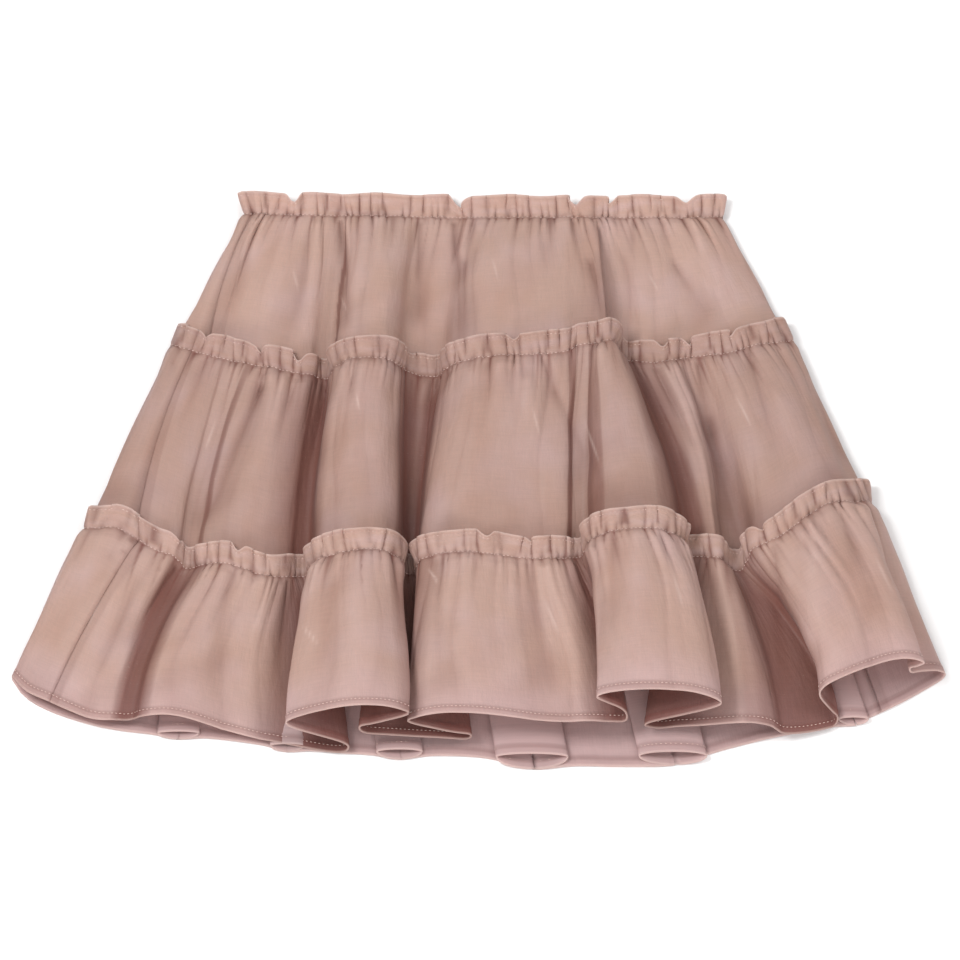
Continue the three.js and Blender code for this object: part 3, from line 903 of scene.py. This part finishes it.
def even_stations(curve, start, stop, step):
    """Places on the loop at even lengths along a curve."""
    fine = np.linspace(start, stop, STATION_SAMPLES)
    steps = np.linalg.norm(np.diff(curve(fine), axis=0), axis=1)
    reach = np.concatenate([[0], np.cumsum(steps)])
    count = max(2, int(reach[-1] / step))
    return np.interp(np.linspace(0, reach[-1], count + 1), reach, fine)


def to_metres(points):
    return (points - ORIGIN) * MM


def new_object(name, verts, quads):
    """Mesh object from points in millimetres and rows of four corners."""
    verts = to_metres(np.asarray(verts, float))
    quads = np.asarray(quads, np.int32)
    mesh = bpy.data.meshes.new(name)
    mesh.vertices.add(len(verts))
    mesh.vertices.foreach_set("co", verts.astype(np.float32).reshape(-1))
    mesh.loops.add(quads.size)
    mesh.loops.foreach_set("vertex_index", quads.reshape(-1))
    mesh.polygons.add(len(quads))
    mesh.polygons.foreach_set("loop_start", np.arange(len(quads), dtype=np.int32) * 4)
    mesh.polygons.foreach_set("use_smooth", np.ones(len(quads), bool))
    mesh.update(calc_edges=True)
    obj = bpy.data.objects.new(name, mesh)
    bpy.context.scene.collection.objects.link(obj)
    return obj


def shell_quads(rows, columns):
    """Faces of a closed thin shell over a grid: outer side, inner side and the four edges."""
    index = np.arange(rows * columns).reshape(rows, columns)
    size = rows * columns
    a, b = index[:-1, :-1].ravel(), index[:-1, 1:].ravel()
    c, d = index[1:, 1:].ravel(), index[1:, :-1].ravel()
    quads = [np.stack([a, d, c, b], 1), np.stack([a, b, c, d], 1) + size]

    def rim(line, flip):
        p, q = line[:-1], line[1:]
        ring = np.stack([p, q, q + size, p + size], 1)
        quads.append(ring[:, ::-1] if flip else ring)

    rim(index[0], False)
    rim(index[-1], True)
    rim(index[:, 0], True)
    rim(index[:, -1], False)
    return np.concatenate(quads)


def panel(tier, side):
    """Front or back cloth of one tier, between its side seams."""
    k = tier.k
    last = k == len(TIERS) - 1
    front = side == "front"
    seam_top = TIERS[k]["seam"][0]
    start, stop = (seam_top, BACK_SEAM) if front else (BACK_SEAM, seam_top + LOOP)
    step = FRONT_STEP[k] if front else BACK_STEP
    count = len(even_stations(LEVELS[k], start, stop, step))
    shares = [even_stations(LEVELS[j], start, stop, 1.0) for j in (k, k + 1)]
    even = [np.interp(np.linspace(0, 1, count), np.linspace(0, 1, len(line)), line) for line in shares]
    columns = 0.5 * even[0] + 0.5 * even[1]
    if last and not front:
        columns = np.sort(np.concatenate([columns, fold_columns(tier)]))
    grid_s, grid_w = np.meshgrid(columns, ROWS)
    seam_shift = tier.seam_at(grid_w) - seam_top
    share = (grid_s - start) / (stop - start)
    grid_s = grid_s + seam_shift * ((1 - share) if front else share)
    grid_s = mix(grid_s, (start + stop) / 2, SEAM_PART)
    middle, trough, lines = tier.point(grid_s, grid_w, with_shade=True)
    out = unit(np.cross(np.gradient(middle, axis=0), np.gradient(middle, axis=1)))
    drop = (1 - np.clip(grid_w, 0, 1)) * TIER_LENGTH[k]
    hem = smooth(HEM_BAND + 0.5, HEM_BAND - 0.3, drop) if last else 0 * drop
    doubled = smooth(-0.02, -0.1, grid_w)
    band = smooth(-0.8, -0.84, grid_w)
    half = CLOTH / 2 * (1 + HEM_THICKER * hem + HEADING_THICKER * doubled + BAND_THICKER * band)
    outer = middle + out * half[..., None]
    inner = middle - out * half[..., None]
    verts = np.concatenate([outer.reshape(-1, 3), inner.reshape(-1, 3)])
    verts[:, 2] = np.maximum(verts[:, 2], LOWEST)
    obj = new_object(f"{TIERS[k]['name']}_{side}_cloth", verts, shell_quads(*grid_s.shape))
    shine = streaks(middle, k) * (grid_w > 0) if front else 0 * drop
    paint(obj, tier, grid_s, grid_w, trough, lines, drop, hem, shine)
    return obj


def fold_columns(tier):
    """Extra columns through the flattened tubes of the back's hem."""
    line = np.linspace(TUBES_FROM, BACK_END[1], FOOT_SAMPLES)
    across = LEVELS[-1](tier.hem_place(line, 0.0))[:, 0]
    extra = []
    for centre, _, foot, *_ in BACK_FOLDS:
        wanted = centre + foot * (np.linspace(0, 1, FOOT_COLUMNS) - 0.5)
        extra.append(np.interp(-wanted, -across, line))
    return np.concatenate(extra)


def paint(obj, tier, s, w, trough, lines, drop, hem, shine):
    """Point values that the cloth's material reads, most of them painted shade, highlight and light."""
    k = tier.k
    front = frontness(s)
    step = tier.body(s + PACE_STEP, 0.5) - tier.body(s - PACE_STEP, 0.5)
    pace = np.linalg.norm(step, axis=-1) / (2 * PACE_STEP)
    gaps = ((wrap(s) - tier.seam_at(w)) * pace, (BACK_SEAM - wrap(s)) * pace)
    line = sum(np.exp(-(gap / SEAM_WIDTH) ** 2) for gap in gaps)
    strips = [smooth(0, 0.4, gap) * (1 - smooth(ALLOWANCE - 0.8, ALLOWANCE, gap)) for gap in gaps]
    # Painted shade: darkest where least room is left in front of the cloth, in the recesses between
    # folds
    tight = np.clip(1 - (tier.room(s) - DARK_ROOM) / LIGHT_ROOM, 0, 1) * front * smooth(-0.3, 0.2, w)
    values = {
        "deep": tight,
        # Painted shade in the relief's troughs, painted highlight on its crests
        "trough": np.clip((trough - 0.3) / FULL_RELIEF, 0, 1),
        "crest": np.clip(-trough / FULL_RELIEF, 0, 1),
        # Painted shade lines between the ridges
        "pleat_shade": lines,
        "streak": shine,
        # Painted highlight along the rolled edges
        "edge": np.maximum(smooth(-0.9, -0.95, w), 0.7 * hem * smooth(0.9, 0.3, drop)),
        # Painted shade along the top band's groove
        "band_groove_shade": smooth(-0.86, -0.82, w) * smooth(-0.74, -0.8, w),
        # Painted shade along the gathering stitch line
        "stitch_groove_shade": np.exp(-(w * TIER_LENGTH[k] / 1.0) ** 2),
        # Darker doubled hem band, and painted shade along the hem's stitch groove
        "hem_band_and_groove_shade": hem * (0.3 + np.exp(-((drop - HEM_STITCH) / 0.55) ** 2)),
        "toned": TONES[k] + 0 * w,
        "seam_line": line,
        "allowance": np.maximum(*strips),
        # Painted light: lighter within 30 mm of the last tier's hem
        "low": smooth(30, 2, drop) * (k == len(TIERS) - 1),
        # Painted light on the back panel
        "back": 1 - front,
    }
    for key, value in values.items():
        both = np.tile(np.broadcast_to(value, s.shape).reshape(-1), 2)
        made = obj.data.attributes.new(key, "FLOAT", "POINT")
        made.data.foreach_set("value", both.astype(np.float32))
    place = np.stack([tier.strip(s), w * TIER_LENGTH[k], BACK_PATTERN * (1 - front)], axis=-1)
    both = np.tile(place.reshape(-1, 3), (2, 1))
    made = obj.data.attributes.new("cloth_place", "FLOAT_VECTOR", "POINT")
    made.data.foreach_set("vector", both.astype(np.float32).reshape(-1))


def stitch_mesh(centres, alongs, ups):
    """Small rounded stitches lying along a line, sunk a little at both ends."""
    sides = STITCH_SIDES
    turns = 2 * math.pi * np.arange(sides) / sides
    across = unit(np.cross(ups, alongs))
    verts = []
    for share, scale, rise in STITCH_RINGS:
        middle = centres + alongs * (share * STITCH_LENGTH) + ups * (rise * STITCH_RADIUS)
        for turn in turns:
            offset = across * math.cos(turn) + ups * (0.8 * math.sin(turn))
            verts.append(middle + offset * (STITCH_RADIUS * scale))
    verts = np.stack(verts, axis=1)
    quads = []
    for ring in range(len(STITCH_RINGS) - 1):
        for i in range(sides):
            j = (i + 1) % sides
            low, high = ring * sides, (ring + 1) * sides
            quads.append([low + i, low + j, high + j, high + i])
    end = (len(STITCH_RINGS) - 1) * sides
    quads += [[3, 2, 1, 0], [5, 4, 3, 0]]
    quads += [[end, end + 1, end + 2, end + 3], [end, end + 3, end + 4, end + 5]]
    shift = np.arange(len(centres)) * verts.shape[1]
    return verts.reshape(-1, 3), (np.array(quads)[None] + shift[:, None, None]).reshape(-1, 4)


def stitch_row(tier, w, height):
    """Stitches all round a tier at one height, outside the cloth."""
    s = even_stations(lambda u: tier.point(u, w), *STITCHED_PART, STITCH_PITCH)
    centres = tier.point(s, w)
    alongs = unit(tier.point(s + STITCH_NUDGE, w) - tier.point(s - STITCH_NUDGE, w))
    downs = tier.point(s, w + STITCH_DOWN_NUDGE) - tier.point(s, w - STITCH_DOWN_NUDGE)
    ups = unit(np.cross(downs, alongs))
    centres = centres + ups * (height + 0.3 * STITCH_RADIUS)
    return stitch_mesh(centres, alongs, ups)


def joined(parts):
    """One set of points and faces from several."""
    shift = np.cumsum([0] + [len(verts) for verts, _ in parts[:-1]])
    verts = np.concatenate([verts for verts, _ in parts])
    verts[:, 2] = np.maximum(verts[:, 2], LOWEST)
    return verts, np.concatenate([quads + move for (_, quads), move in zip(parts, shift)])


# Materials

def node(tree, kind, **values):
    made = tree.nodes.new(kind)
    for key, value in values.items():
        setattr(made, key, value)
    return made


def attribute(tree, name, output="Fac"):
    return node(tree, "ShaderNodeAttribute", attribute_name=name).outputs[output]


def feed(tree, socket, value):
    """Link an output to a socket, or set the socket to a value."""
    if hasattr(value, "is_linked"):
        tree.links.new(value, socket)
    else:
        socket.default_value = value


def math_node(tree, operation, *values, clamp=False):
    made = node(tree, "ShaderNodeMath", operation=operation, use_clamp=clamp)
    for socket, value in zip(made.inputs, values):
        feed(tree, socket, value)
    return made.outputs[0]


def mix_colour(tree, fac, a, b, blend="MIX"):
    made = node(tree, "ShaderNodeMix", data_type="RGBA", blend_type=blend)
    for socket, value in ((made.inputs["Factor"], fac), (made.inputs[6], a), (made.inputs[7], b)):
        feed(tree, socket, value)
    return made.outputs[2]


def srgb(r, g, b):
    """Colour for a shader from screen values of 0 to 255."""
    def linear(c):
        c = c / 255
        return c / 12.92 if c <= 0.04045 else ((c + 0.055) / 1.055) ** 2.4
    return (linear(r), linear(g), linear(b), 1)


def organza(name):
    """Dusty pink satin-faced organza: sheer, softly shining, with a fine uneven weave."""
    material = bpy.data.materials.new(name)
    material.use_nodes = True
    tree = material.node_tree
    tree.nodes.clear()
    output = node(tree, "ShaderNodeOutputMaterial")
    shader = node(tree, "ShaderNodeBsdfPrincipled")
    veil = node(tree, "ShaderNodeBsdfTranslucent")
    blend = node(tree, "ShaderNodeMixShader")
    place = attribute(tree, "cloth_place", "Vector")

    def noise(scale, detail, squash=(1, 1, 1)):
        mapping = node(tree, "ShaderNodeMapping")
        mapping.inputs["Scale"].default_value = squash
        tree.links.new(place, mapping.inputs["Vector"])
        made = node(tree, "ShaderNodeTexNoise")
        made.inputs["Scale"].default_value = scale
        made.inputs["Detail"].default_value = detail
        tree.links.new(mapping.outputs[0], made.inputs["Vector"])
        return made.outputs["Fac"]

    patches = math_node(tree, "SUBTRACT", noise(0.03, 2.0), 0.42)
    patches = math_node(tree, "MULTIPLY", patches, 1.6, clamp=True)
    colour = mix_colour(tree, patches, srgb(*BASE), srgb(*LILAC))
    warmth = math_node(tree, "SUBTRACT", noise(0.02, 2.0, (1.6, 0.7, 1)), 0.47)
    warmth = math_node(tree, "MULTIPLY", warmth, 2.4, clamp=True)
    colour = mix_colour(tree, math_node(tree, "MULTIPLY", warmth, 0.55), colour, srgb(*WARM))
    # Painted shade, highlight and light from the point values, along with the darker seams and hem band
    for name, weight, tone in PAINTED:
        share = math_node(tree, "MULTIPLY", attribute(tree, name), weight, clamp=True)
        colour = mix_colour(tree, share, colour, srgb(*tone))

    threads_across = noise(1.0, 2.0, (0.08, 1.3, 1))
    threads_down = noise(1.0, 2.0, (1.5, 0.07, 1))
    weave = math_node(tree, "MULTIPLY", threads_across, 0.65)
    weave = math_node(tree, "ADD", weave, math_node(tree, "MULTIPLY", threads_down, 0.35))
    glint = noise(1.0, 3.0, (0.5, 1.7, 1))
    glint = math_node(tree, "SUBTRACT", glint, 0.66)
    glint = math_node(tree, "MULTIPLY", glint, 6.0, clamp=True)
    shade = math_node(tree, "MULTIPLY_ADD", weave, 0.22, 0.89)
    colour = mix_colour(tree, 1, colour, shade, "MULTIPLY")
    colour = mix_colour(tree, math_node(tree, "MULTIPLY", glint, 0.3), colour, srgb(*PALE))

    bump = node(tree, "ShaderNodeBump")
    bump.inputs["Strength"].default_value = 0.35
    bump.inputs["Distance"].default_value = 0.0004
    creases = noise(0.16, 3.0, (1.9, 0.6, 1))
    height = math_node(tree, "MULTIPLY", creases, 3.0)
    height = math_node(tree, "ADD", math_node(tree, "MULTIPLY", weave, 0.5), height)
    tree.links.new(height, bump.inputs["Height"])

    tree.links.new(colour, shader.inputs["Base Color"])
    tree.links.new(colour, veil.inputs["Color"])
    tree.links.new(bump.outputs[0], shader.inputs["Normal"])
    tree.links.new(bump.outputs[0], veil.inputs["Normal"])
    shader.inputs["Roughness"].default_value = 0.48
    shader.inputs["Specular IOR Level"].default_value = 0.32
    shader.inputs["Sheen Weight"].default_value = 0.15
    shader.inputs["Sheen Roughness"].default_value = 0.4
    shader.inputs["Sheen Tint"].default_value = (1.0, 0.9, 0.88, 1)
    blend.inputs["Fac"].default_value = 0.46
    tree.links.new(shader.outputs[0], blend.inputs[1])
    tree.links.new(veil.outputs[0], blend.inputs[2])
    tree.links.new(blend.outputs[0], output.inputs["Surface"])
    return material


def thread_material(name):
    """Slightly shiny thread in the cloth's colour."""
    material = bpy.data.materials.new(name)
    material.use_nodes = True
    tree = material.node_tree
    shader = tree.nodes["Principled BSDF"]
    coordinates = node(tree, "ShaderNodeTexCoord")
    wave = node(tree, "ShaderNodeTexNoise")
    wave.inputs["Scale"].default_value = 1400
    tree.links.new(coordinates.outputs["Object"], wave.inputs["Vector"])
    colour = mix_colour(tree, wave.outputs["Fac"], srgb(*THREAD_DARK), srgb(*THREAD_LIGHT))
    tree.links.new(colour, shader.inputs["Base Color"])
    shader.inputs["Roughness"].default_value = 0.45
    shader.inputs["Sheen Weight"].default_value = 0.2
    return material


# Pieces

cloth = organza("satin_organza")
thread = thread_material("polyester_thread")
upper = None
for k, info in enumerate(TIERS):
    tier = Tier(k, upper)
    for side in ("front", "back"):
        name = f"{info['name']}_{side}"
        piece = panel(tier, side)
        piece.data.materials.append(cloth)
        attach(piece, "root")
        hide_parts(name)
    lines = [(0.0, GATHER_STITCHES), (-1 + TOP_BAND / HEADING, BAND_STITCHES)]
    if k == len(TIERS) - 1:
        lines.append((1 - HEM_STITCH / TIER_LENGTH[k], HEM_STITCHES))
    rows = [stitch_row(tier, *line) for line in lines]
    stitches = new_object(f"{info['name']}_stitches", *joined(rows))
    stitches.data.materials.append(thread)
    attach(stitches, "root")
    upper = tier.body

# Floor, light and camera

FLOOR_REACH = 6.0  # metres each way
FLOOR_BELOW = 0.0002
floor_mesh = bpy.data.meshes.new("floor")
corners = [(FLOOR_REACH * x, FLOOR_REACH * y, 0) for x, y in ((-1, -1), (1, -1), (1, 1), (-1, 1))]
floor_mesh.from_pydata(corners, [], [(0, 1, 2, 3)])
floor = bpy.data.objects.new("floor", floor_mesh)
floor.location.z = -FLOOR_BELOW
bpy.context.scene.collection.objects.link(floor)
paper = bpy.data.materials.new("pale_floor")
paper.use_nodes = True
paper_shader = paper.node_tree.nodes["Principled BSDF"]
paper_shader.inputs["Base Color"].default_value = (0.92, 0.92, 0.92, 1)
paper_shader.inputs["Roughness"].default_value = 0.9
paper_shader.inputs["Specular IOR Level"].default_value = 0.1
floor.data.materials.append(paper)

world = bpy.data.worlds.new("studio")
world.use_nodes = True
world.node_tree.nodes["Background"].inputs["Color"].default_value = (1, 1, 1, 1)
world.node_tree.nodes["Background"].inputs["Strength"].default_value = 0.62
bpy.context.scene.world = world


def softbox(name, place, aim, size, power):
    """Soft rectangular light, turned towards the aim."""
    data = bpy.data.lights.new(name, "AREA")
    data.shape = "RECTANGLE"
    data.size, data.size_y = size
    data.energy = power
    light = bpy.data.objects.new(name, data)
    light.location = place
    light.rotation_euler = (Vector(aim) - Vector(place)).to_track_quat("-Z", "Y").to_euler()
    bpy.context.scene.collection.objects.link(light)


softbox("key", (-1.0, 0.1, 1.6), (0, 0, 0), (0.7, 0.7), 21)
softbox("fill", (1.3, 0.2, 1.5), (0, 0, 0), (1.0, 1.0), 9)
softbox("hem_fill", (0.1, -1.7, 0.6), (0, -0.1, 0), (1.4, 0.8), 20)

CAMERA_DISTANCE = 12.0
camera_data = bpy.data.cameras.new("camera")
camera_data.lens = 900
camera_data.sensor_width = 36
camera_data.clip_end = 40
camera = bpy.data.objects.new("camera", camera_data)
aim = Vector(tuple(-ORIGIN * MM))
camera.location = aim + CAMERA_DISTANCE * Vector((0, -math.cos(ELEVATION), math.sin(ELEVATION)))
camera.rotation_euler = (aim - camera.location).to_track_quat("-Z", "Y").to_euler()
bpy.context.scene.collection.objects.link(camera)
bpy.context.scene.camera = camera
bpy.context.scene.view_settings.view_transform = "Standard"
